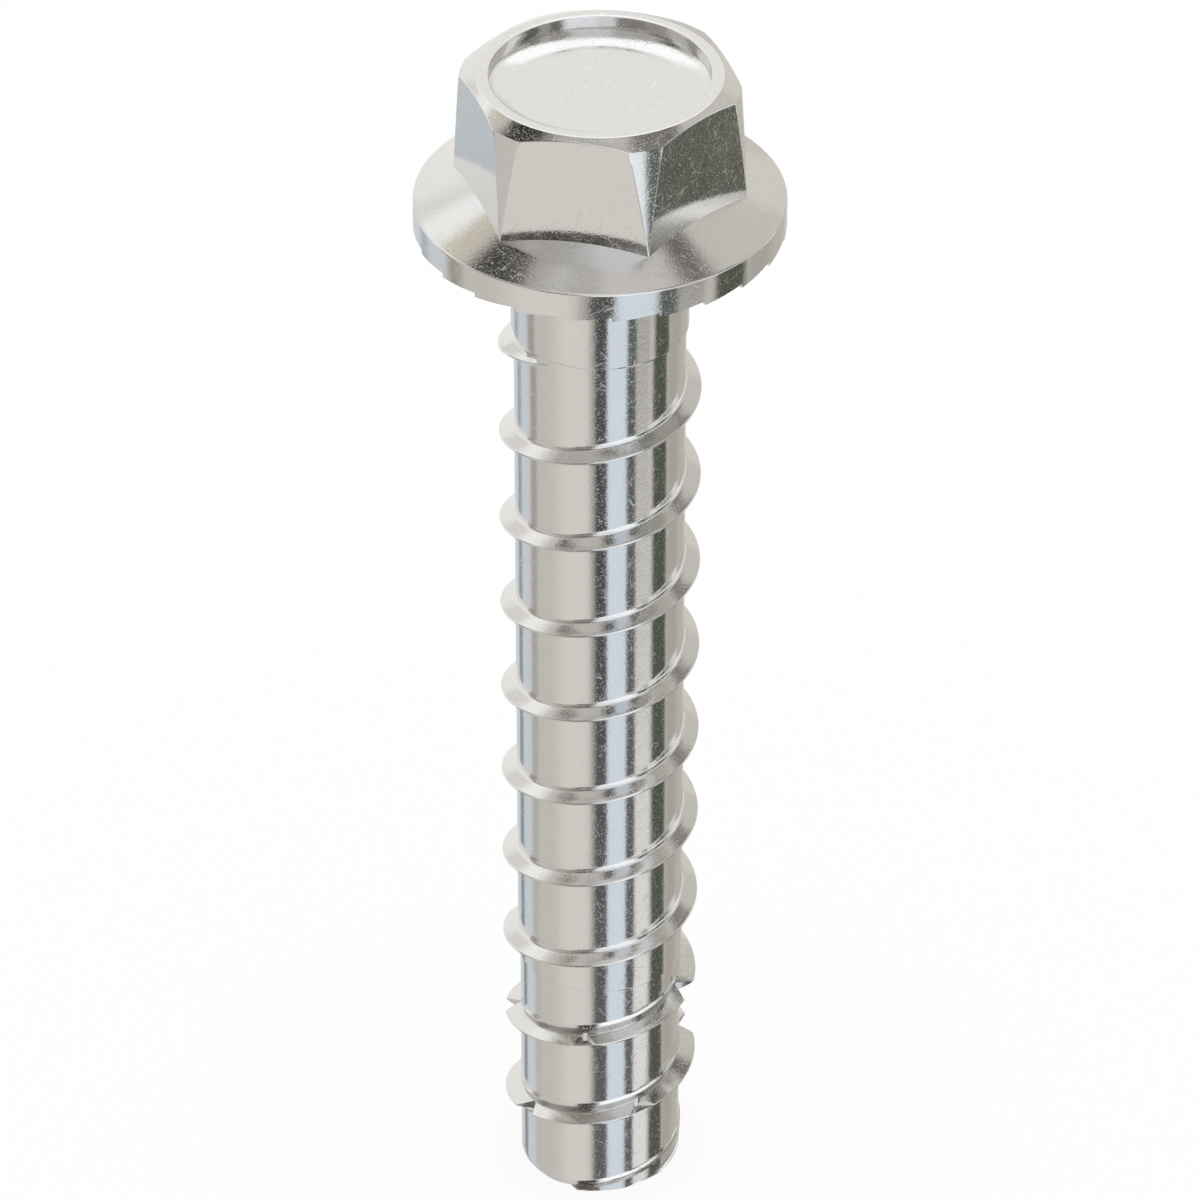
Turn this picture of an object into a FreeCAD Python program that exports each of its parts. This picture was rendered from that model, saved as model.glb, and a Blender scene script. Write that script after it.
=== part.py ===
import FreeCAD, Part
import math
import os

import Sketcher
from FreeCAD import Placement, Rotation, Vector

doc = FreeCAD.newDocument("concrete_screw")

# Driving dimensions, in millimetres and degrees. Heights are measured up from the end of the shank,
# directions anticlockwise from +X, seen from above, and a slope or lean away from level or square.
sizes = [
    ("bearingHeight", 127.0, "end of the shank to the flange's bearing plane"),
    ("shankDiameter", 18.85, "shank between the turns of the thread"),
    ("neckDiameter", 19.45, "plain neck under the flange"),
    ("neckLength", 12.8, "bearing plane to the end of the plain neck"),
    ("neckTaper", 0.2, "length of the cone from the neck to the shank"),
    ("neckChamfer", 1.0, "relief cone between the neck and the flange"),
    ("endDiameter", 18.34, "reduced shank that carries the cutting coil"),
    ("endMargin", 0.6, "height of the reduced shank above the coil's top"),
    ("endTaper", 0.3, "length of the cone from the reduced shank to the shank"),
    ("flangeDiameter", 40.4, "washer flange"),
    ("flangeRim", 3.33, "bearing plane to the top edge of the flange's rim"),
    ("flangeSlope", 23.0, "fall of the flange's top towards its rim"),
    ("toothCount", 24, "ratchet teeth under the flange"),
    ("toothHeight", 0.51, "rise of each tooth from its tip to the foot of the next"),
    ("toothRingInner", 27.5, "inner diameter of the ring of teeth"),
    ("toothRingDepth", 0.7, "depth of the flange's underside inside that ring"),
    ("toothTurn", -86.5, "direction of one tooth's step"),
    ("acrossFlats", 27.95, "wrench size of the hexagon"),
    ("hexTurn", -71.3, "direction of one corner of the hexagon"),
    ("headHeight", 18.62, "bearing plane to the top of the head"),
    ("rimDiameter", 26.57, "outer edge of the flat ring round the recess"),
    ("chamferSlope", 27.0, "fall of the chamfer outside that ring"),
    ("cornerTopDiameter", 30.36, "trimmed corners where they meet the chamfer"),
    ("cornerFootGap", 0.1, "height of the trimmed corners' foot above the flange"),
    ("recessDiameter", 23.84, "round recess in the top of the head"),
    ("recessDepth", 2.36, "depth of that recess"),
    ("recessFillet", 0.85, "fillet between the recess's wall and floor"),
    ("threadDiameter", 22.28, "over the crests of the thread"),
    ("threadPitch", 11.45, "rise of the thread, and of the coil, in one turn"),
    ("threadCrest", 0.19, "width of the thread's crest"),
    ("threadFlank", 27.0, "lean of the thread's flanks"),
    ("threadTopDepth", 15.0, "bearing plane to the last full section of the thread"),
    ("runoutTurns", 0.13, "turns over which the thread sinks into the shank"),
    ("runoutSink", 1.8, "how far it sinks there"),
    ("coilDiameter", 22.06, "over the crests of the cutting coil"),
    ("coilSeatDiameter", 16.96, "inner diameter of the cutting coil"),
    ("coilCrest", 0.19, "width of the coil's crest"),
    ("coilFlank", 15.0, "lean of the coil's flanks"),
    ("coilTurns", 2.49, "turns of the coil, from the end of the shank up"),
    ("coilLowTurn", -90.6, "direction in which its middle meets the end of the shank"),
    ("coilGap", 0.2, "turns between the top of the coil and the first full thread"),
    ("leadDiameter", 20.56, "eccentric turning that lowers the coil's first turn"),
    ("leadShift", 1.34, "eccentricity of that turning"),
    ("leadTurn", 42.6, "turn from the coil's lower end to where it is deepest"),
    ("leadHeight", 7.6, "height up to which the coil is turned down"),
    ("seatClearance", 0.03, "clearance between the coil and its groove"),
    ("grooveSlope", 18.0, "lean of the walls of the coil's groove"),
    ("grooveTop", 0.04, "turns by which the groove runs on past the coil's top"),
    ("grooveTail", 0.2, "turns by which it runs on past the coil's lower end"),
    ("notchStart", 0.07, "turns from the coil's top to its first notch"),
    ("notchStep", 80.6, "turn from one notch to the next"),
    ("notchCount", 9, "notches in the coil"),
    ("notchDepth", 1.78, "depth of a notch below the coil's crest"),
    ("notchRoot", 0.5, "width of a notch at its root"),
    ("notchFlank", 37.0, "lean of a notch's walls"),
]

sheet = doc.addObject("Spreadsheet::Sheet", "sizes")
for row, (alias, value, note) in enumerate(sizes, start=1):
    sheet.set("A%d" % row, note)
    sheet.set("B%d" % row, str(value))
    sheet.setAlias("B%d" % row, alias)
doc.recompute()


def size(alias):
    return float(sheet.get(alias))


def originFeature(body, role):
    return [item for item in body.Origin.OriginFeatures if item.Role == role][0]


def bind(item, **expressions):
    for name, expression in expressions.items():
        item.setExpression(name, expression)


# Closed outline on one of the body's planes, through corners given as pairs of expressions
def outline(body, name, plane, corners):
    sketch = body.newObject("Sketcher::SketchObject", name)
    sketch.AttachmentSupport = (originFeature(body, plane), [""])
    sketch.MapMode = "FlatFace"
    count = len(corners)
    angles = [2 * math.pi * corner / count for corner in range(count)]
    ring = [Vector(10 * math.cos(angle), 10 * math.sin(angle), 0) for angle in angles]
    for corner in range(count):
        sketch.addGeometry(Part.LineSegment(ring[corner], ring[(corner + 1) % count]), False)
    for corner in range(count):
        sketch.addConstraint(Sketcher.Constraint("Coincident", corner, 2, (corner + 1) % count, 1))
    for corner, (across, up) in enumerate(corners):
        for kind, axis, expression in (("DistanceX", -2, across), ("DistanceY", -1, up)):
            if expression == "0":
                sketch.addConstraint(Sketcher.Constraint("PointOnObject", corner, 1, axis))
            else:
                index = sketch.addConstraint(Sketcher.Constraint(kind, -1, 1, corner, 1, 1.0))
                sketch.setExpression("Constraints[%d]" % index, expression)
    doc.recompute()
    return sketch


# Direction that the winding of the thread and the coil has at a height
def windingTurn(height):
    return "sizes.coilLowTurn + 360 * (%s) / sizes.threadPitch" % height


# Outline on a plane through the axis, turned to a direction and lifted to a height
def section(body, name, corners, height, turn):
    sketch = outline(body, name, "XZ_Plane", corners)
    sketch.AttachmentOffset = Placement(Vector(0, 0, 0), Rotation(Vector(0, 1, 0), 1))
    sketch.setExpression("AttachmentOffset.Base.y", height)
    sketch.setExpression("AttachmentOffset.Rotation.Angle", turn)
    doc.recompute()
    return sketch


def windingSection(body, name, corners, height):
    return section(body, name, corners, height, windingTurn(height))


# Corners of a ridge's section, given as radius and half width, with their mirror images below
def mirrored(corners):
    return [(radius, "-(%s)" % half) for radius, half in corners] + corners[::-1]


def revolved(body, kind, name, sketch):
    item = body.newObject("PartDesign::" + kind, name)
    item.Profile = sketch
    item.ReferenceAxis = (originFeature(body, "Z_Axis"), [""])
    item.Angle = 360
    doc.recompute()
    return item


def helix(body, kind, name, sketch, turns, rise="sizes.threadPitch", growth="0"):
    item = body.newObject("PartDesign::" + kind, name)
    item.Profile = sketch
    item.ReferenceAxis = (originFeature(body, "Z_Axis"), [""])
    item.Mode = "height-turns-growth"
    item.Refine = False
    bind(item, Turns=turns, Height="(%s) * (%s)" % (turns, rise), Growth=growth)
    doc.recompute()
    return item


# The forged and rolled screw: shank, neck and flange
screw = doc.addObject("PartDesign::Body", "Screw")
screw.Label = "screw_body"

flangeTop = ("sizes.bearingHeight + sizes.flangeRim"
             " + (sizes.flangeDiameter / 2 - (%s)) * tan(sizes.flangeSlope)")
insideHex = "sizes.acrossFlats / 2 - 2"
neckTop = "sizes.bearingHeight + sizes.toothRingDepth"
endTop = "sizes.coilTurns * sizes.threadPitch + sizes.endMargin"
revolved(screw, "Revolution", "ShankAndFlange", outline(screw, "ShankAndFlangeOutline", "XZ_Plane", [
    ("0", "0"),
    ("sizes.endDiameter / 2", "0"),
    ("sizes.endDiameter / 2", endTop),
    ("sizes.shankDiameter / 2", endTop + " + sizes.endTaper"),
    ("sizes.shankDiameter / 2", "sizes.bearingHeight - sizes.neckLength - sizes.neckTaper"),
    ("sizes.neckDiameter / 2", "sizes.bearingHeight - sizes.neckLength"),
    ("sizes.neckDiameter / 2", neckTop + " - sizes.neckChamfer"),
    ("sizes.neckDiameter / 2 + sizes.neckChamfer", neckTop),
    ("sizes.toothRingInner / 2", neckTop),
    ("sizes.toothRingInner / 2", "sizes.bearingHeight"),
    ("sizes.flangeDiameter / 2", "sizes.bearingHeight"),
    ("sizes.flangeDiameter / 2", "sizes.bearingHeight + sizes.flangeRim"),
    (insideHex, flangeTop % insideHex),
    ("0", flangeTop % insideHex),
]))

# Hexagon, with its corners and top edge turned off
hexCorner = "sizes.acrossFlats / sqrt(3)"
hexOutline = outline(screw, "HexagonOutline", "XY_Plane", [
    ("%s * cos(sizes.hexTurn + %d)" % (hexCorner, turn), "%s * sin(sizes.hexTurn + %d)" % (hexCorner, turn))
    for turn in range(0, 360, 60)])
hexOutline.setExpression("AttachmentOffset.Base.z", "sizes.bearingHeight + sizes.flangeRim / 2")
hexagon = screw.newObject("PartDesign::Pad", "Hexagon")
hexagon.Profile = hexOutline
bind(hexagon, Length="sizes.headHeight - sizes.flangeRim / 2")
doc.recompute()

headTop = "sizes.bearingHeight + sizes.headHeight"
chamferDrop = "(sizes.cornerTopDiameter - sizes.rimDiameter) / 2 * tan(sizes.chamferSlope)"
cornerFoot = flangeTop % hexCorner + " + sizes.cornerFootGap"
revolved(screw, "Groove", "CornersAndChamfer", outline(screw, "CornerOutline", "XZ_Plane", [
    ("sizes.rimDiameter / 2", headTop),
    ("sizes.cornerTopDiameter / 2", headTop + " - " + chamferDrop),
    (hexCorner, cornerFoot),
    ("sizes.flangeDiameter / 2", cornerFoot),
    ("sizes.flangeDiameter / 2", headTop + " + 1"),
    ("sizes.rimDiameter / 2", headTop + " + 1"),
]))

recessFloor = headTop + " - sizes.recessDepth"
recess = revolved(screw, "Groove", "Recess", outline(screw, "RecessOutline", "XZ_Plane", [
    ("0", recessFloor),
    ("sizes.recessDiameter / 2", recessFloor),
    ("sizes.recessDiameter / 2", headTop + " + 1"),
    ("0", headTop + " + 1"),
]))
floorHeight = size("bearingHeight") + size("headHeight") - size("recessDepth")
recessFillet = screw.newObject("PartDesign::Fillet", "RecessFillet")
recessFillet.Base = (recess, [
    "Edge%d" % index for index, edge in enumerate(recess.Shape.Edges, start=1)
    if edge.Curve.TypeId == "Part::GeomCircle" and abs(edge.Curve.Center.z - floorHeight) < 1e-4
    and abs(edge.Curve.Radius - size("recessDiameter") / 2) < 1e-4])
bind(recessFillet, Radius="sizes.recessFillet")
doc.recompute()

# Ratchet teeth: each is left by a cut whose top climbs from the bearing plane to the next tooth's foot
toothSection = section(screw, "ToothSection", [
    ("sizes.toothRingInner / 2 - 1", "-1"),
    ("sizes.flangeDiameter / 2 + 1", "-1"),
    ("sizes.flangeDiameter / 2 + 1", "0"),
    ("sizes.toothRingInner / 2 - 1", "0"),
], "sizes.bearingHeight", "sizes.toothTurn")
toothCut = helix(screw, "SubtractiveHelix", "ToothCut", toothSection, "1 / sizes.toothCount",
                 rise="sizes.toothHeight * sizes.toothCount")
teeth = screw.newObject("PartDesign::PolarPattern", "Teeth")
teeth.Originals = [toothCut]
teeth.Axis = (originFeature(screw, "Z_Axis"), [""])
teeth.Angle = 360
bind(teeth, Occurrences="sizes.toothCount")
screw.Tip = teeth
doc.recompute()

# Rolled thread, on the same helix as the cutting coil below it, which sinks into the shank at both ends
threadTop = "sizes.bearingHeight - sizes.threadTopDepth"
threadLow = "(sizes.coilTurns + sizes.coilGap) * sizes.threadPitch"
threadRoot = "sizes.shankDiameter / 2 - 0.3"
rootHalf = "sizes.threadCrest / 2 + (sizes.threadDiameter / 2 - (%s)) * tan(sizes.threadFlank)" % threadRoot


def threadSection(name, height, sink="0"):
    return windingSection(screw, name, mirrored([
        ("%s - %s" % (threadRoot, sink), rootHalf),
        ("sizes.threadDiameter / 2 - %s" % sink, "sizes.threadCrest / 2"),
    ]), height)


growth = "sizes.runoutSink / sizes.runoutTurns"
lowest = threadSection("LowerRunoutSection", threadLow + " - sizes.runoutTurns * sizes.threadPitch",
                       sink="sizes.runoutSink")
helix(screw, "AdditiveHelix", "LowerRunout", lowest, "sizes.runoutTurns", growth=growth)
helix(screw, "AdditiveHelix", "Thread", threadSection("ThreadSection", threadLow),
      "(%s - %s) / sizes.threadPitch" % (threadTop, threadLow))
helix(screw, "AdditiveHelix", "UpperRunout", threadSection("UpperRunoutSection", threadTop),
      "sizes.runoutTurns", growth="-" + growth)

# Groove for the cutting coil, which runs out through the end of the shank
seat = "sizes.coilSeatDiameter / 2"
seatHalf = "sizes.coilCrest / 2 + (sizes.coilDiameter / 2 - %s) * tan(sizes.coilFlank)" % seat
floorRadius = seat + " - sizes.seatClearance"
floorHalf = seatHalf + " + sizes.seatClearance"
mouthRadius = "sizes.shankDiameter / 2 + 1"
mouthHalf = "%s + (%s - (%s)) * tan(sizes.grooveSlope)" % (floorHalf, mouthRadius, floorRadius)
grooveSection = windingSection(screw, "GrooveSection", mirrored([
    (floorRadius, floorHalf),
    (mouthRadius, mouthHalf),
]), "-sizes.grooveTail * sizes.threadPitch")
helix(screw, "SubtractiveHelix", "CoilGroove", grooveSection,
      "sizes.grooveTail + sizes.coilTurns + sizes.grooveTop")

# Cutting coil: wire wound in the groove, then notched, turned down at its start and cut off level
coil = doc.addObject("PartDesign::Body", "Wire")
coil.Label = "wire"
wireSection = windingSection(coil, "WireSection", mirrored([
    (seat, seatHalf),
    ("sizes.coilDiameter / 2", "sizes.coilCrest / 2"),
]), "0")
helix(coil, "AdditiveHelix", "WoundWire", wireSection, "sizes.coilTurns")


def notchCutter(index):
    wedge = doc.addObject("Part::Wedge", "Notch%d" % (index + 1))
    half = "sizes.notchRoot / 2"
    mouth = half + " + (sizes.notchDepth + 1) * tan(sizes.notchFlank)"
    bind(wedge, Ymin="sizes.coilDiameter / 2 - sizes.notchDepth", Ymax="sizes.coilDiameter / 2 + 1",
         Xmin="-" + half, Xmax=half, X2min="-(%s)" % mouth, X2max=mouth,
         Zmin="-sizes.notchDepth", Zmax="sizes.notchDepth",
         Z2min="-sizes.notchDepth", Z2max="sizes.notchDepth")
    turns = size("coilTurns") - size("notchStart") - index * size("notchStep") / 360
    lead = math.degrees(math.atan(size("threadPitch") / (math.pi * size("coilDiameter"))))
    outward = Rotation(Vector(0, 0, 1), size("coilLowTurn") + 360 * turns - 90)
    across = Rotation(Vector(0, 1, 0), lead)
    wedge.Placement = Placement(Vector(0, 0, turns * size("threadPitch")), outward * across)
    return wedge


def cylinder(name, radius, base, height):
    item = doc.addObject("Part::Cylinder", name)
    bind(item, Radius=radius, Height=height)
    item.setExpression("Placement.Base.z", base)
    return item


def combined(kind, name, base, tool):
    item = doc.addObject("Part::" + kind, name)
    item.Base, item.Tool = base, tool
    return item


notches = [notchCutter(index) for index in range(int(size("notchCount")))]
below = cylinder("BelowEnd", "sizes.coilDiameter", "-sizes.threadPitch", "sizes.threadPitch")
ring = cylinder("LeadRing", "sizes.coilDiameter", "-1", "sizes.leadHeight + 1")
turning = cylinder("LeadTurning", "sizes.leadDiameter / 2", "-2", "sizes.leadHeight + 3")
turning.setExpression("Placement.Base.x", "-sizes.leadShift * cos(sizes.coilLowTurn + sizes.leadTurn)")
turning.setExpression("Placement.Base.y", "-sizes.leadShift * sin(sizes.coilLowTurn + sizes.leadTurn)")
shankEnd = cylinder("LeadFlush", "sizes.endDiameter / 2", "-2", "sizes.leadHeight + 3")
lead = combined("Cut", "Lead", ring, combined("Fuse", "LeadKept", turning, shankEnd))
cutters = doc.addObject("Part::MultiFuse", "CoilCutters")
cutters.Shapes = notches + [below, lead]
cuttingCoil = combined("Cut", "CuttingCoil", coil, cutters)
cuttingCoil.Label = "cutting_coil"
doc.recompute()

subParts = [screw, cuttingCoil]
for item in doc.Objects:
    if any(word in item.State for word in ("Invalid", "Error")):
        raise RuntimeError("%s failed: %s" % (item.Name, item.State))
for item in subParts:
    if item.Shape.isNull() or not item.Shape.isValid() or len(item.Shape.Solids) != 1:
        raise RuntimeError("%s has no single valid solid" % item.Label)

os.makedirs("parts", exist_ok=True)
for item in subParts:
    item.Shape.exportStep("parts/%s.step" % item.Label)
    print(item.Label, round(item.Shape.Volume, 2), "mm3")
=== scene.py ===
import math

import bmesh
import bpy
from mathutils import Matrix, Vector


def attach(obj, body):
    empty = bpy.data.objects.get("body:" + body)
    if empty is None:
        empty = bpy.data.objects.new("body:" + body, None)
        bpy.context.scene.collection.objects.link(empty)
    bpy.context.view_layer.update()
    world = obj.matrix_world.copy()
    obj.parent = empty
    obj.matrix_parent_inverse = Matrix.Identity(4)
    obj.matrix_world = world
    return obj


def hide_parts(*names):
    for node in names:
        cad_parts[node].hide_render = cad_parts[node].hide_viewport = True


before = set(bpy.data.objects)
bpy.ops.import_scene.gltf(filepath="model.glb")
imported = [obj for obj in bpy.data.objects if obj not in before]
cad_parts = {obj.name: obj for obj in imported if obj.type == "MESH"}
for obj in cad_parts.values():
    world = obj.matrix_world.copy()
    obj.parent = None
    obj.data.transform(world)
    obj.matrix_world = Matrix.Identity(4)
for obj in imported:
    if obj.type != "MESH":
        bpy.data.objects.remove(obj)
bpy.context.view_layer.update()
print("frame loaded:", sorted(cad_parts))

# Pieces are drawn in millimetres, upright on the tip, and brought to metres when they are finished
millimetre = 0.001


# Small helpers

def linearColour(hexText, alpha=1.0):
    parts = [int(hexText[place:place + 2], 16) / 255 for place in (1, 3, 5)]
    return tuple(p / 12.92 if p <= 0.04045 else ((p + 0.055) / 1.055) ** 2.4 for p in parts) + (alpha,)


def addNode(tree, kind, links=None, **settings):
    node = tree.nodes.new(kind)
    for name, value in settings.items():
        setattr(node, name, value)
    for socket, source in (links or {}).items():
        if isinstance(source, bpy.types.NodeSocket):
            tree.links.new(source, node.inputs[socket])
        else:
            node.inputs[socket].default_value = source
    return node


def polar(point):
    return math.hypot(point.x, point.y), math.degrees(math.atan2(point.y, point.x))


def place(vert, radius, height=None):
    reach = math.hypot(vert.co.x, vert.co.y)
    vert.co = (vert.co.x * radius / reach, vert.co.y * radius / reach,
               vert.co.z if height is None else height)


# A line of points in the XZ plane, given as radius and height
def drawLine(shape, points):
    verts = [shape.verts.new((radius, 0, height)) for radius, height in points]
    return verts, [shape.edges.new(pair) for pair in zip(verts, verts[1:])]


def vertsOf(geometry):
    return [item for item in geometry if isinstance(item, bmesh.types.BMVert)]


def edgesOf(geometry):
    return [item for item in geometry if isinstance(item, bmesh.types.BMEdge)]


def openRing(shape, height, radius, slack=0.02):
    return [edge for edge in shape.edges if edge.is_boundary and all(
        abs(v.co.z - height) < slack and abs(polar(v.co)[0] - radius) < slack for v in edge.verts)]


# Draws an open ring of edges out to a new circle and returns the ring there
def drawRing(shape, ring, radius, height):
    made = bmesh.ops.extrude_edge_only(shape, edges=ring)["geom"]
    for vert in vertsOf(made):
        place(vert, radius, height)
    bmesh.ops.remove_doubles(shape, verts=vertsOf(made), dist=0.004)
    return openRing(shape, height, radius)


def finishPiece(shape, name, material, node, sharpAngle=32):
    # Sorted along a skew line, so that each run merges the same points
    skew = Vector((3, 7, 11))
    shape.verts.sort(key=lambda vert: vert.co.dot(skew))
    bmesh.ops.remove_doubles(shape, verts=shape.verts, dist=0.003)
    bmesh.ops.dissolve_degenerate(shape, edges=shape.edges, dist=0.001)
    bmesh.ops.recalc_face_normals(shape, faces=shape.faces)
    for edge in shape.edges:
        edge.smooth = edge.smooth and edge.calc_face_angle(0) < math.radians(sharpAngle)
    for face in shape.faces:
        face.smooth = True
    bmesh.ops.scale(shape, vec=(millimetre,) * 3, verts=shape.verts)
    openEdges = sum(not edge.is_manifold for edge in shape.edges)
    mesh = bpy.data.meshes.new(name)
    shape.to_mesh(mesh)
    shape.free()
    piece = bpy.data.objects.new(name, mesh)
    bpy.context.scene.collection.objects.link(piece)
    piece.data.materials.append(material)
    # Broad faces stay flat beside narrow rounds
    weighted = piece.modifiers.new("weighted normals", "WEIGHTED_NORMAL")
    weighted.keep_sharp = True
    weighted.weight = 50
    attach(piece, "root")
    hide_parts(node)
    print(name, "made:", len(mesh.polygons), "faces,", openEdges, "edges that aren't closed")


# Metals

metal = {
    "screwColour": "#E3E3E3",
    "coilColour": "#E1E1E0",
    "roughness": 0.095,
    "roughnessSpread": 0.025,
    "patchSize": 4.0,              # mm, patches of smoother and duller plating
    "patchRange": (0.3, 0.7),
    "grainSize": 0.32,             # mm, the orange peel that plating leaves on steel
    "grainDepth": 0.0055,          # mm
    "waveDepth": 0.012,            # mm, long waves that forging and rolling leave
    "pitSize": 0.17,               # mm
    "pitRange": (0.59, 0.73),      # the noise at which a pit starts, and is full
    "pitRoughness": 0.36,
    "scratchWidth": 0.05,          # mm, drawn wider than real ones so that they show
    "scratchLength": 1.3,          # mm
    "scratchRange": (0.54, 0.68),
    # Cell size whose borders the scratches follow, and its turn in degrees
    "scratchCells": ((1.9, (20, 35, 0)), (2.6, (-40, 15, 60)), (3.3, (75, -20, 30)),
                     (4.3, (15, 80, -35))),
    "scratchRoughness": 0.4,
    "scratchColour": "#EFEEEC",    # fresh metal, brighter than the plating
}


# Zinc-plated forged steel: bright satin with fine orange peel, pinholes and short handling scratches, which
# sparkle where it mirrors something dark
def platedSteel(name, colour):
    material = bpy.data.materials.new(name)
    material.use_nodes = True
    tree = material.node_tree
    tree.nodes.clear()
    spot = addNode(tree, "ShaderNodeTexCoord").outputs["Object"]
    patches = addNode(tree, "ShaderNodeTexNoise", {
        "Vector": spot, "Scale": 1 / (metal["patchSize"] * millimetre), "Detail": 3.0}).outputs["Fac"]
    grain = addNode(tree, "ShaderNodeTexNoise", {
        "Vector": spot, "Scale": 1 / (metal["grainSize"] * millimetre), "Detail": 2.0,
        "Roughness": 0.6}).outputs["Fac"]
    pits = addNode(tree, "ShaderNodeTexNoise", {
        "Vector": spot, "Scale": 1 / (metal["pitSize"] * millimetre), "Detail": 1.0}).outputs["Fac"]
    start, full = metal["pitRange"]
    pits = addNode(tree, "ShaderNodeMapRange", {
        "Value": pits, "From Min": start, "From Max": full}).outputs["Result"]
    scratches = 0.0
    for size, turn in metal["scratchCells"]:
        lying = addNode(tree, "ShaderNodeMapping", {
            "Vector": spot, "Rotation": tuple(math.radians(angle) for angle in turn)}).outputs["Vector"]
        border = addNode(tree, "ShaderNodeTexVoronoi", {
            "Vector": lying, "Scale": 1 / (size * millimetre)},
            feature="DISTANCE_TO_EDGE").outputs["Distance"]
        line = addNode(tree, "ShaderNodeMapRange", {
            "Value": border, "From Min": metal["scratchWidth"] / size, "From Max": 0.0}).outputs["Result"]
        length = addNode(tree, "ShaderNodeTexNoise", {
            "Vector": lying, "Scale": 1 / (metal["scratchLength"] * millimetre),
            "Detail": 1.0}).outputs["Fac"]
        start, full = metal["scratchRange"]
        length = addNode(tree, "ShaderNodeMapRange", {
            "Value": length, "From Min": start, "From Max": full}).outputs["Result"]
        line = addNode(tree, "ShaderNodeMath", {0: line, 1: length}, operation="MULTIPLY").outputs[0]
        scratches = addNode(tree, "ShaderNodeMath", {
            0: scratches, 1: line}, operation="MAXIMUM").outputs[0]
    relief = addNode(tree, "ShaderNodeMath", {
        0: patches, 1: metal["waveDepth"] / metal["grainDepth"], 2: grain},
        operation="MULTIPLY_ADD").outputs[0]
    bump = addNode(tree, "ShaderNodeBump", {
        "Height": relief, "Strength": 1.0,
        "Distance": metal["grainDepth"] * millimetre}).outputs["Normal"]
    start, full = metal["patchRange"]
    roughness = addNode(tree, "ShaderNodeMapRange", {
        "Value": patches, "From Min": start, "From Max": full,
        "To Min": metal["roughness"] - metal["roughnessSpread"],
        "To Max": metal["roughness"] + metal["roughnessSpread"]}).outputs["Result"]
    for mask, rough in ((pits, metal["pitRoughness"]), (scratches, metal["scratchRoughness"])):
        roughness = addNode(tree, "ShaderNodeMix", {"Factor": mask, 2: roughness, 3: rough}).outputs[0]
    bared = addNode(tree, "ShaderNodeMath", {0: pits, 1: scratches}, operation="MAXIMUM").outputs[0]
    plating = addNode(tree, "ShaderNodeMix", {
        "Factor": bared, 6: linearColour(colour), 7: linearColour(metal["scratchColour"])},
        data_type="RGBA").outputs[2]
    shader = addNode(tree, "ShaderNodeBsdfPrincipled", {
        "Base Color": plating, "Metallic": 1.0, "Roughness": roughness, "Normal": bump})
    addNode(tree, "ShaderNodeOutputMaterial", {"Surface": shader.outputs["BSDF"]})
    return material


# The coil is hardened wire, plated like the screw and a touch greyer
screwSteel = platedSteel("zinc plated forged steel", metal["screwColour"])
coilSteel = platedSteel("hardened coil steel", metal["coilColour"])
print("metals made")

# Threaded shank: one pitch of the surface, wound up the shank and then shaped point by point

shank = {
    "pitch": 11.45,
    "lowTurn": -90.6,          # direction of the winding's middle at the tip
    "stepsPerTurn": 120,
    "turnsWound": 12,
    "radius": 9.425,
    "endRadius": 9.17,
    "neckRadius": 9.725,
    "endTop": (29.11, 29.41),  # step from the thinner end to the shank
    "neckFoot": (114.0, 114.35),
    "tipRound": 0.45,
    "crestRadius": 11.14,
    "crestHalf": 0.095,
    "crestRound": (0.17, 5.0), # half the round crest's width, and how fast it falls
    "flank": 27.0,             # lean of the thread's sides, in degrees
    "rootFillet": 0.6,
    "threadTurns": (2.69, 9.782),
    "runout": (0.13, 1.8),     # turns, and how far the thread sinks over them
    "grooveFloor": (8.45, 0.808),
    "grooveEdge": 1.042,       # half the groove's width at its mouth, as it is above on its floor
    "grooveEnd": 2.53,         # turns
    "bead": (1.28, 1.7),       # rolled bead along the groove's mouth, its crest and its outer foot
    "beadHeight": 0.1,
    # Distances from the winding's middle at which a strip of faces ends
    "levels": [0, 0.05, 0.1, 0.14, 0.18, 0.4, 0.635, 0.72, 0.808, 0.87, 0.94, 1.0, 1.042, 1.12, 1.2,
               1.28, 1.36, 1.46, 1.58, 1.7, 1.8, 1.95, 2.6, 3.6, 4.7, 5.725],
    "top": 115.0,
    "cuts": (0, 0.06, 0.2),    # the end face, and rings for the tip's round edge
}


def coreRadius(height):
    tip, lowEnd, lowTop = shank["tipRound"], *shank["endTop"]
    neckLow, neckTop = shank["neckFoot"]
    if height < tip:
        return shank["endRadius"] - tip + math.sqrt(max(tip ** 2 - (tip - height) ** 2, 0))
    if height < lowTop:
        share = max(height - lowEnd, 0) / (lowTop - lowEnd)
        return shank["endRadius"] + share * (shank["radius"] - shank["endRadius"])
    share = min(max(height - neckLow, 0) / (neckTop - neckLow), 1)
    return shank["radius"] + share * (shank["neckRadius"] - shank["radius"])


# Radius of the full thread at a distance from its middle, with a round crest and filleted roots
def threadRadius(aside):
    lean = math.tan(math.radians(shank["flank"]))
    foot = shank["crestHalf"] + (shank["crestRadius"] - shank["radius"]) * lean
    fillet = shank["rootFillet"]
    tangent = fillet / math.tan(math.radians(90 + shank["flank"]) / 2)
    crestHalf, fall = shank["crestRound"]
    if aside < crestHalf:
        return shank["crestRadius"] - fall * aside ** 2
    if aside < foot - tangent * math.sin(math.radians(shank["flank"])):
        return shank["crestRadius"] - (aside - shank["crestHalf"]) / lean
    if aside < foot + tangent:
        return shank["radius"] + fillet - math.sqrt(fillet ** 2 - (foot + tangent - aside) ** 2)
    return 0


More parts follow.
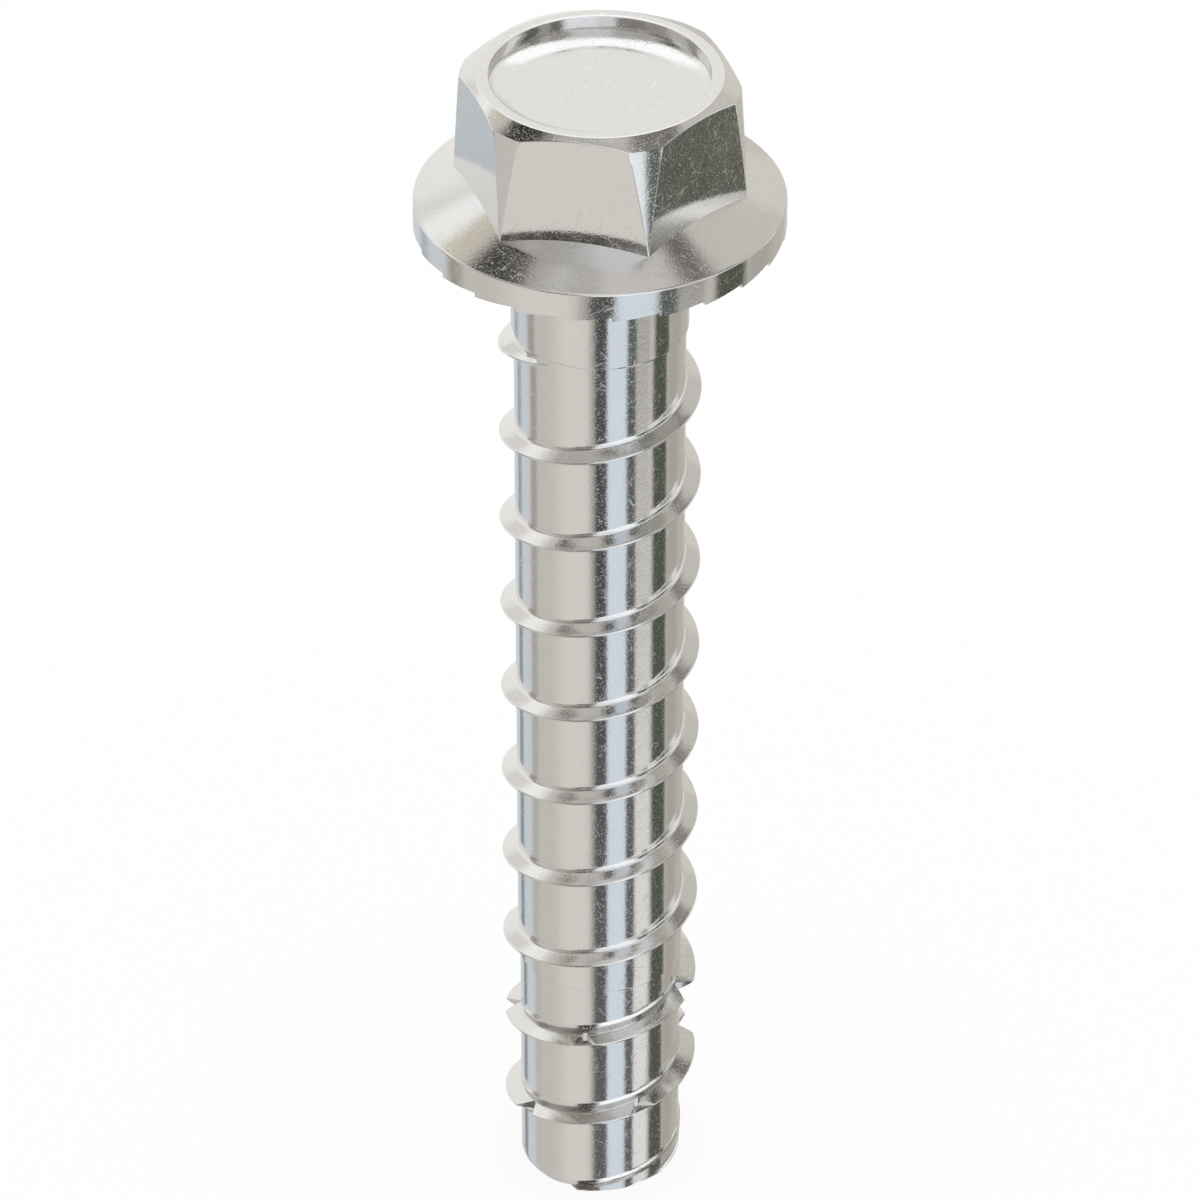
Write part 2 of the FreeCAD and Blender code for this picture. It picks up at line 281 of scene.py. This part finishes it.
def shankRadius(point):
    core = coreRadius(point.z)
    turns = (polar(point)[1] - shank["lowTurn"]) / 360
    turns += round(point.z / shank["pitch"] - turns)
    aside = abs(point.z - turns * shank["pitch"])
    if turns <= shank["grooveEnd"]:
        floor, half = shank["grooveFloor"]
        edge = shank["grooveEdge"]
        if aside < edge:
            return floor + max(aside - half, 0) / (edge - half) * (core - floor)
        crest, end = shank["bead"]
        rise = min((aside - edge) / (crest - edge), (end - aside) / (end - crest))
        return core + shank["beadHeight"] * max(rise, 0)
    low, top = shank["threadTurns"]
    length, sink = shank["runout"]
    outside = max(low - turns, turns - top, 0)
    return max(core, threadRadius(aside) - outside / length * sink)


winding = bmesh.new()
sides = [-level for level in shank["levels"][:0:-1]] + shank["levels"]
verts, edges = drawLine(winding, [(shank["radius"], aside) for aside in sides])
bmesh.ops.rotate(winding, verts=verts, matrix=Matrix.Rotation(math.radians(shank["lowTurn"]), 3, "Z"))
bmesh.ops.translate(winding, verts=verts, vec=(0, 0, -shank["pitch"]))
bmesh.ops.spin(winding, geom=verts + edges, cent=(0, 0, 0), axis=(0, 0, 1), angle=math.tau,
               dvec=(0, 0, shank["pitch"] / shank["stepsPerTurn"]), steps=shank["stepsPerTurn"])
oneTurn = winding.verts[:] + winding.edges[:] + winding.faces[:]
for turn in range(1, shank["turnsWound"]):
    copy = bmesh.ops.duplicate(winding, geom=oneTurn)["geom"]
    bmesh.ops.translate(winding, verts=vertsOf(copy), vec=(0, 0, turn * shank["pitch"]))
bmesh.ops.remove_doubles(winding, verts=winding.verts, dist=0.003)

shankTop = shank["top"]
for height in (*shank["cuts"], shank["tipRound"], *shank["endTop"], *shank["neckFoot"], shankTop):
    bmesh.ops.bisect_plane(winding, geom=winding.verts[:] + winding.edges[:] + winding.faces[:],
                           plane_co=(0, 0, height), plane_no=(0, 0, 1), dist=0.002,
                           clear_inner=height == 0, clear_outer=height == shankTop)
for vert in winding.verts:
    place(vert, shankRadius(vert.co))
tipRing = [edge for edge in winding.edges if edge.is_boundary and max(v.co.z for v in edge.verts) < 0.01]
bmesh.ops.holes_fill(winding, edges=tipRing, sides=0)
shankMesh = bpy.data.meshes.new("shank")
winding.to_mesh(shankMesh)
winding.free()
print("shank wound")

# Head: a turned blank whose six flats are cut by planes, on a flange with ratchet teeth under it

head = {
    "bearing": 127.0,
    "steps": 240,
    "turn": -71.3,             # direction of one corner
    "flatDistance": 13.975,
    "top": 18.62,
    "rim": (11.92, 13.285),    # flat ring round the recess
    "chamfer": (15.18, 17.655),
    "cornerFoot": (16.137, 5.15),
    "recessDepth": 2.36,
    "dishFoot": (11.9, 1.56),  # the recess's wall ends here, on a dished floor, at this depth
    "dishTurn": (10.4, 2.12),
    "dishCentre": (5.0, 0.07), # the floor rises by this at this radius
    "dishRound": 1.3,
    "lipRound": 0.12,
    "rimRound": 0.1,
    "blankFoot": 4.6,          # the blank ends here before it is drawn out to the flange
    "edgeRound": 0.07,
    "flangeRadius": 20.2,
    "rimHeight": 3.33,
    "flangeSlope": 23.0,
    "toothCount": 24,
    "toothTurn": -86.3,
    "toothHeight": 0.51,
    "toothRing": 13.75,
    "toothRingDepth": 0.7,
    "neckChamfer": 1.0,
}


def flangeHeight(radius):
    return head["bearing"] + head["rimHeight"] + (
        head["flangeRadius"] - radius) * math.tan(math.radians(head["flangeSlope"]))


body = bmesh.new()
bearing = head["bearing"]
top = bearing + head["top"]
floor = top - head["recessDepth"]
inner, outer = head["rim"]
footRadius, footHeight = head["cornerFoot"]
chamferRadius, chamferHeight = head["chamfer"]
blankFoot = head["blankFoot"]
spread = (footRadius - chamferRadius) / (chamferHeight - footHeight) * (footHeight - blankFoot)
dishRadius, dishDepth = head["dishTurn"]
wallRadius, wallDepth = head["dishFoot"]
centreRadius, centreRise = head["dishCentre"]
verts, edges = drawLine(body, [
    (0, floor), (centreRadius, floor + centreRise), (dishRadius, top - dishDepth),
    (wallRadius, top - wallDepth), (inner, top), (outer, top), (chamferRadius, bearing + chamferHeight),
    (footRadius + spread, bearing + blankFoot), (0, bearing + blankFoot)])
for corner, width, segments in (
        (verts[2], head["dishRound"], 7), (verts[4], head["lipRound"], 3), (verts[5], head["rimRound"], 3)):
    bmesh.ops.bevel(body, geom=[corner], offset=width, offset_type="OFFSET", segments=segments,
                    profile=0.5, affect="VERTICES", material=-1)
bmesh.ops.rotate(body, verts=body.verts, matrix=Matrix.Rotation(math.radians(head["turn"]), 3, "Z"))
bmesh.ops.spin(body, geom=body.verts[:] + body.edges[:], cent=(0, 0, 0), axis=(0, 0, 1), angle=math.tau,
               steps=head["steps"], use_merge=True)
bmesh.ops.remove_doubles(body, verts=body.verts, dist=0.003)
for side in range(6):
    outward = Matrix.Rotation(math.radians(head["turn"] + 30 + 60 * side), 3, "Z") @ Vector((1, 0, 0))
    cut = bmesh.ops.bisect_plane(body, geom=body.verts[:] + body.edges[:] + body.faces[:], dist=0.001,
                                 plane_co=outward * head["flatDistance"], plane_no=outward,
                                 clear_outer=True)["geom_cut"]
    bmesh.ops.edgeloop_fill(body, edges=edgesOf(cut))
bmesh.ops.recalc_face_normals(body, faces=body.faces)
underside = [face for face in body.faces
             if face.normal.z < -0.9 and face.calc_center_median().z < bearing + 5]
bmesh.ops.delete(body, geom=underside, context="FACES")
foot = [edge for edge in body.edges if edge.is_boundary]
for vert in {vert for edge in foot for vert in edge.verts}:
    vert.co.z = flangeHeight(polar(vert.co)[0])

# One tooth, its ramp and its step, repeated round the flange
verts, edges = drawLine(body, [(head["toothRing"], bearing), (head["flangeRadius"], bearing)])
toothAngle = 360 / head["toothCount"]
toothSteps = head["steps"] // head["toothCount"]
bmesh.ops.rotate(body, verts=verts, matrix=Matrix.Rotation(math.radians(head["toothTurn"]), 3, "Z"))
before = set(body.verts) | set(body.edges) | set(body.faces)
last = bmesh.ops.spin(body, geom=verts + edges, cent=(0, 0, 0), axis=(0, 0, 1), steps=toothSteps,
                      angle=math.radians(toothAngle),
                      dvec=(0, 0, head["toothHeight"] / toothSteps))["geom_last"]
step = bmesh.ops.extrude_edge_only(body, edges=edgesOf(last))["geom"]
bmesh.ops.translate(body, verts=vertsOf(step), vec=(0, 0, -head["toothHeight"]))
tooth = [item for item in body.verts[:] + body.edges[:] + body.faces[:] if item not in before]
tooth += verts + edges
bmesh.ops.spin(body, geom=tooth, cent=(0, 0, 0), axis=(0, 0, 1), angle=math.radians(360 - toothAngle),
               steps=head["toothCount"] - 1, use_duplicate=True)
bmesh.ops.remove_doubles(body, verts=[v for v in body.verts if v.co.z < bearing + 1], dist=0.004)

rimTop = bearing + head["rimHeight"]
teethEdge = [edge for edge in body.edges if edge.is_boundary and edge.verts[0].co.z < bearing + 1]
outerEdge = [edge for edge in teethEdge if polar(edge.verts[0].co)[0] > 17]
innerEdge = [edge for edge in teethEdge if polar(edge.verts[0].co)[0] < 17]
ring = outerEdge
for radius, height in ((20.2, rimTop - 0.15), (20.17, rimTop - 0.04), (20.08, flangeHeight(20.08) - 0.01),
                       (19.95, flangeHeight(19.95))):
    ring = drawRing(body, ring, radius, height)
foot = [edge for edge in body.edges if edge.is_boundary and edge.verts[0].co.z > rimTop + 1]
bmesh.ops.bridge_loops(body, edges=ring + foot)

ring = innerEdge
collar = bearing + head["toothRingDepth"]
neck = shank["neckRadius"]
for radius, height in ((head["toothRing"], collar), (neck + head["neckChamfer"], collar),
                       (neck, collar - head["neckChamfer"]), (neck, shankTop + 0.4)):
    ring = drawRing(body, ring, radius, height)
body.from_mesh(shankMesh)
bmesh.ops.bridge_loops(body, edges=openRing(body, shankTop + 0.4, neck) + openRing(body, shankTop, neck))

# The flats' edges keep their crease, with a narrow worn edge round each flat
flats = {face for face in body.faces if len(face.verts) > 20 and abs(face.normal.z) < 0.01}
rounded = [edge for edge in body.edges
           if max(v.co.z for v in edge.verts) > rimTop + 3 and not flats.isdisjoint(edge.link_faces)]
worn = set(bmesh.ops.bevel(body, geom=rounded, offset=head["edgeRound"], offset_type="OFFSET",
                           segments=2, profile=0.5, affect="EDGES", material=-1)["faces"])
for face in body.faces:
    for edge in face.edges:
        if len(face.verts) > 20 or face in worn and not worn.issuperset(edge.link_faces):
            edge.smooth = False
finishPiece(body, "screw_body_steel", screwSteel, "screw_body")

# Cutting coil: a wound strip whose crest is lowered at the notches and at its turned-down start

coil = {
    "turns": 2.49,
    "turnsBelow": 0.12,        # wound below the end face, which cuts them off
    "seat": (8.48, 0.778),     # inner radius, and half the width there
    "crest": (11.03, 0.095),
    "stepsPerTurn": 120,
    "leadRadius": 10.28,       # the turned-down start is part of a circle set to one side
    "leadShift": 1.34,
    "leadTurn": 42.6,
    "leadHeight": 7.6,
    "firstNotch": 0.07,        # turns before the coil's end
    "notchStep": 80.6,         # degrees
    "notchCount": 9,
    "notchDepth": 1.78,
    "notchRoot": 0.25,
    "notchFlank": 37.0,
    "edgeRound": 0.085,
}

strip = bmesh.new()
seatRadius, seatHalf = coil["seat"]
crestRadius, crestHalf = coil["crest"]
verts, edges = drawLine(strip, [
    (seatRadius, -seatHalf), (crestRadius, -crestHalf), (crestRadius, crestHalf), (seatRadius, seatHalf)])
bmesh.ops.bevel(strip, geom=verts[1:3], offset=coil["edgeRound"], offset_type="OFFSET", segments=3,
                profile=0.5, affect="VERTICES", material=-1)
strip.edges.new([vert for vert in strip.verts if polar(vert.co)[0] < seatRadius + 0.01])
section = bmesh.ops.edgeloop_fill(strip, edges=strip.edges)["faces"][0]
verts = section.verts[:]
below = coil["turnsBelow"]
startTurn = math.radians(shank["lowTurn"] - 360 * below)
bmesh.ops.rotate(strip, verts=verts, matrix=Matrix.Rotation(startTurn, 3, "Z"))
bmesh.ops.translate(strip, verts=verts, vec=(0, 0, -below * shank["pitch"]))
turnsDrawn = coil["turns"] + below
stepCount = round(turnsDrawn * coil["stepsPerTurn"])
bmesh.ops.spin(strip, geom=verts + section.edges[:] + [section], cent=(0, 0, 0), axis=(0, 0, 1),
               dvec=(0, 0, shank["pitch"] * turnsDrawn / stepCount), angle=math.radians(360 * turnsDrawn),
               steps=stepCount)

notches = []
lead = math.atan(shank["pitch"] / (math.tau * crestRadius))
notchMouth = coil["notchRoot"] + coil["notchDepth"] * math.tan(math.radians(coil["notchFlank"]))
for index in range(coil["notchCount"]):
    turns = coil["turns"] - coil["firstNotch"] - index * coil["notchStep"] / 360
    turn = Matrix.Rotation(math.radians(shank["lowTurn"] + 360 * turns), 3, "Z")
    along = turn @ Vector((0, math.cos(lead), math.sin(lead)))
    middle = turn @ Vector((crestRadius, 0, 0)) + Vector((0, 0, turns * shank["pitch"]))
    notches.append((middle, along))
    for aside in (-notchMouth, -coil["notchRoot"], coil["notchRoot"], notchMouth):
        near = [face for face in strip.faces if (face.calc_center_median() - middle).length < 5]
        corners = list(dict.fromkeys(vert for face in near for vert in face.verts))
        sides = list(dict.fromkeys(edge for face in near for edge in face.edges))
        bmesh.ops.bisect_plane(strip, geom=corners + sides + near, dist=0.002,
                               plane_co=middle + along * aside, plane_no=along)

leadDirection = math.radians(shank["lowTurn"] + coil["leadTurn"])
leadCentre = Vector((-math.cos(leadDirection), -math.sin(leadDirection))) * coil["leadShift"]
taper = (seatHalf - crestHalf) / (crestRadius - seatRadius)
for vert in strip.verts:
    radius, turn = polar(vert.co)
    direction = Vector((vert.co.x, vert.co.y)) / radius
    allowed = crestRadius
    if vert.co.z < coil["leadHeight"]:
        across = direction.dot(leadCentre)
        reach = across + math.sqrt(across ** 2 + coil["leadRadius"] ** 2 - leadCentre.length_squared)
        allowed = min(allowed, max(reach, shank["endRadius"] + 0.02))
    for middle, along in notches:
        if (vert.co - middle).length < 4:
            aside = max(abs((vert.co - middle).dot(along)) - coil["notchRoot"], 0)
            depth = coil["notchDepth"] - aside / math.tan(math.radians(coil["notchFlank"]))
            allowed = min(allowed, crestRadius - max(depth, 0))
    if radius > allowed:
        turns = (turn - shank["lowTurn"]) / 360
        turns += round(vert.co.z / shank["pitch"] - turns)
        middleHeight = turns * shank["pitch"]
        half = crestHalf + (crestRadius - allowed) * taper
        place(vert, allowed, middleHeight + math.copysign(half, vert.co.z - middleHeight))
bmesh.ops.bisect_plane(strip, geom=strip.verts[:] + strip.edges[:] + strip.faces[:], dist=0.001,
                       plane_co=(0, 0, 0), plane_no=(0, 0, 1), clear_inner=True)
bmesh.ops.holes_fill(strip, edges=[edge for edge in strip.edges if edge.is_boundary], sides=0)
finishPiece(strip, "cutting_coil_steel", coilSteel, "cutting_coil", sharpAngle=25)

# Floor: plain and pale, out of the metal's reflections, which show the studio only

ground = {
    "radius": 6.0,             # metres
    "paperColour": "#FDFDFD",
    "glow": 0.86,              # share of plain white in what the camera sees, for a paler shadow
}

floorMesh = bmesh.new()
bmesh.ops.create_circle(floorMesh, cap_ends=True, radius=ground["radius"], segments=96)
floorData = bpy.data.meshes.new("floor")
floorMesh.to_mesh(floorData)
floorMesh.free()
floorPiece = bpy.data.objects.new("floor", floorData)
bpy.context.scene.collection.objects.link(floorPiece)
floorPiece.visible_glossy = False
paper = bpy.data.materials.new("matt white paper")
paper.use_nodes = True
tree = paper.node_tree
tree.nodes.clear()
shader = addNode(tree, "ShaderNodeBsdfPrincipled", {
    "Base Color": linearColour(ground["paperColour"]), "Roughness": 1.0, "Specular IOR Level": 0.0})
glow = addNode(tree, "ShaderNodeEmission", {"Color": linearColour("#FFFFFF"), "Strength": 1.0})
seen = addNode(tree, "ShaderNodeLightPath").outputs["Is Camera Ray"]
share = addNode(tree, "ShaderNodeMath", {0: seen, 1: ground["glow"]}, operation="MULTIPLY").outputs[0]
surface = addNode(tree, "ShaderNodeMixShader", {0: share, 1: shader.outputs["BSDF"], 2: glow.outputs[0]})
addNode(tree, "ShaderNodeOutputMaterial", {"Surface": surface.outputs[0]})
floorData.materials.append(paper)
print("floor laid")

# Studio: a pale tent with soft boxes and dark flags, which the metal mirrors. Azimuth is counted from the
# front towards +X and elevation from level, in degrees. A lean moves a panel sideways as it rises

studio = {
    "tentColour": "#BBB7B1",
    "strength": 1.3,
}
panels = [
    # name, azimuth from and to at eye level, elevation from and to, lean, softness, colour
    ("ceiling", -180, 180, 66, 91, 0, 5, "#A9A6A0"),
    ("dim ceiling on the right", 60, 96, 62, 75, 0, 8, "#98948D"),
    ("ceiling on the left", -125, -60, 73, 91, 0, 5, "#C0BEBA"),
    ("ceiling near the lens", -60, 105, 77, 91, 0, 7, "#CBCCCD"),
    ("ceiling over the lens", -27, 62, 54, 80, 0, 9, "#CDCFD1"),
    ("ceiling straight above", -88, 100, 84, 91, 0, 4, "#DCDDDE"),
    ("white table on the right", 8, 100, -90, -42, 0, 6, "#DCDCDA"),
    ("big box on the left", -182, -110, -27, 46, 0, 6, "#DFDEDA"),
    ("bright edge of the big box", -160, -112, 31, 42, 0, 5, "#E9E8E6"),
    ("dull corner of the big box", -152, -135, 14, 31, 0, 7, "#CFCCC6"),
    ("cream edge of the big box", -160, -130, 43, 51, 0, 5, "#BDB6A8"),
    ("pale ceiling behind", 128, 178, 66, 82, 0, 5, "#BEBAB5"),
    ("box behind", 152, 206, 38, 68, 0, 6, "#FFFFFF"),
    ("top of the box behind", 182, 213, 60, 74, 0, 5, "#D3D5D8"),
    ("lower box behind", 152, 196, 22, 40, 0, 5, "#DEDDDA"),
    ("cream wall behind", 146, 166, -5, 28, -0.2, 5, "#C9C5BC"),
    ("low sky behind left", -166, -110, -90, -28, 0, 5, "#C0C5C9"),
    ("low flag behind left", -146, -133, -90, -32, 0, 8, "#7C858A"),
    ("seam on the left", -107, -95, -36, 27, 0, 8, "#949189"),
    ("top of the seam", -115, -98, 16, 34, 0, 5, "#A39F98"),
    ("warm wall in front", -58, -10, -90, -12, 0, 34, "#CDC9C3"),
    ("shade beside the cloth", -13, 0, -90, -29, 0, 9, "#9C9893"),
    ("shaded corner overhead", -98, -22, 38, 60, 0, 8, "#8E8983"),
    ("dim wall on the left", -70, -20, 2, 45, 0, 10, "#99958F"),
    ("dark corner overhead", -60, -28, 36, 60, 0, 9, "#5B5650"),
    ("cool box in front", 8, 35.5, -90, 62, 0, 4, "#CBD3DC"),
    ("cool box above", 1, 34, -24, 62, 0, 6, "#EBEEF3"),
    ("pale gap beside the stand", -22, 6, -12, 60, -0.2, 4, "#DADCDF"),
    ("grey stand", -42, -12, -8, 36, -0.25, 8, "#837E78"),
    ("dark foot of the stand", -34, -8, -19, -8, 0, 4, "#45413D"),
    ("dark cloth", -6.5, 9.3, -90, -29, 0, 5, "#454543"),
    ("foot of the dark cloth", -9, 9, -90, -36.5, 0, 7, "#5F5E5B"),
    ("pale shelf on the right", -5, 60, -18, -3, 0, 4, "#FBFAF8"),
    ("low narrow flag", 36.5, 49, -90, -18, 0, 4, "#565C5A"),
    ("narrow flag", 38, 51, -4, 50, 0, 3, "#676A65"),
    ("dim wall on the right", 50, 90, -12, 40, 0, 4, "#9E9B97"),
    ("shelf on the right", 49, 68, -33, -22, 0, 5, "#8C8A85"),
    ("paper edge on the right", 49.5, 72, -90, -35.2, 0, 5, "#DAD9D5"),
    ("low green-grey flag", 76, 101.5, -90, -25, 0, 6, "#4E5148"),
    ("green-grey flag", 68, 84, -28, 30, -0.35, 5, "#55584F"),
    ("far end of the pale shelf", 58, 88, -17, -3, 0, 4, "#F6F5F2"),
    ("pale ledge on the right", 84, 150, -10, -2, 0, 4, "#EFEEEA"),
    ("low wall on the right", 105, 137, -90, -28, 0, 9, "#A29D96"),
    ("low back wall on the right", 130, 158, -90, -28, 0, 9, "#ADA8A0"),
    ("narrow box on the right", 98, 113, -27, 24, -0.7, 5, "#E6E5E2"),
    ("ceiling beam on the left", -136, -106, 55, 72, 0, 7, "#89847D"),
    ("ceiling edge left", -139, -117, 53, 67, 0, 5, "#2E2C29"),
    ("ceiling edge right", 97, 120, 44, 61, 0, 6, "#7E7A75"),
    ("upper ceiling edge right", 112, 128, 59, 78, 0, 6, "#6B6762"),
    ("far ceiling edge right", 128, 152, 58, 66, 0, 5, "#66635E"),
]

world = bpy.data.worlds.new("studio")
bpy.context.scene.world = world
world.use_nodes = True
tree = world.node_tree
tree.nodes.clear()
direction = addNode(tree, "ShaderNodeTexCoord").outputs["Generated"]
parts = addNode(tree, "ShaderNodeSeparateXYZ", {"Vector": direction})
backward = addNode(tree, "ShaderNodeMath", {
    0: parts.outputs["Y"], 1: -1.0}, operation="MULTIPLY").outputs[0]
azimuth = addNode(tree, "ShaderNodeMath", {
    0: parts.outputs["X"], 1: backward}, operation="ARCTAN2").outputs[0]
azimuth = addNode(tree, "ShaderNodeMath", {0: azimuth}, operation="DEGREES").outputs[0]
elevation = addNode(tree, "ShaderNodeMath", {
    0: parts.outputs["Z"]}, operation="ARCSINE").outputs[0]
elevation = addNode(tree, "ShaderNodeMath", {0: elevation}, operation="DEGREES").outputs[0]
colour = linearColour(studio["tentColour"])
for name, azimuthFrom, azimuthTo, lowEdge, highEdge, lean, softness, hexColour in panels:
    middle = addNode(tree, "ShaderNodeMath", {
        0: elevation, 1: lean, 2: (azimuthFrom + azimuthTo) / 2}, operation="MULTIPLY_ADD").outputs[0]
    sideways = addNode(tree, "ShaderNodeMath", {0: azimuth, 1: middle}, operation="SUBTRACT").outputs[0]
    sideways = addNode(tree, "ShaderNodeMath", {
        0: sideways, 1: 180.0, 2: -180.0}, operation="WRAP").outputs[0]
    upward = addNode(tree, "ShaderNodeMath", {
        0: elevation, 1: (lowEdge + highEdge) / 2}, operation="SUBTRACT").outputs[0]
    cover = 1.0
    for away, half in ((sideways, (azimuthTo - azimuthFrom) / 2), (upward, (highEdge - lowEdge) / 2)):
        away = addNode(tree, "ShaderNodeMath", {0: away}, operation="ABSOLUTE").outputs[0]
        inside = addNode(tree, "ShaderNodeMapRange", {
            "Value": away, "From Min": half + softness / 2, "From Max": half - softness / 2},
            interpolation_type="SMOOTHSTEP").outputs["Result"]
        cover = addNode(tree, "ShaderNodeMath", {0: cover, 1: inside}, operation="MULTIPLY").outputs[0]
    colour = addNode(tree, "ShaderNodeMix", {
        "Factor": cover, 6: colour, 7: linearColour(hexColour)}, data_type="RGBA", label=name).outputs[2]
path = addNode(tree, "ShaderNodeLightPath").outputs
lit = addNode(tree, "ShaderNodeBackground", {"Color": colour, "Strength": studio["strength"]})
plain = addNode(tree, "ShaderNodeBackground", {"Color": linearColour("#FFFFFF"), "Strength": 1.0})
mirrored = addNode(tree, "ShaderNodeMixShader", {
    0: path["Is Glossy Ray"], 1: plain.outputs[0], 2: lit.outputs[0]})
addNode(tree, "ShaderNodeOutputWorld", {"Surface": mirrored.outputs[0]})
print("studio made")

# Camera, at the photograph's viewing angle

viewpoint = {
    "lens": 228,               # mm, on a sensor of 36
    "location": (0, -0.6984, 0.5605),
    "tilt": 55.322,            # degrees up from straight down
}
cameraData = bpy.data.cameras.new("camera")
cameraData.lens = viewpoint["lens"]
cameraData.sensor_width = 36
cameraData.clip_end = 50
camera = bpy.data.objects.new("camera", cameraData)
camera.location = viewpoint["location"]
camera.rotation_euler = (math.radians(viewpoint["tilt"]), 0, 0)
bpy.context.scene.collection.objects.link(camera)
bpy.context.scene.camera = camera
print("camera placed")

bpy.context.scene.view_settings.view_transform = "Standard"
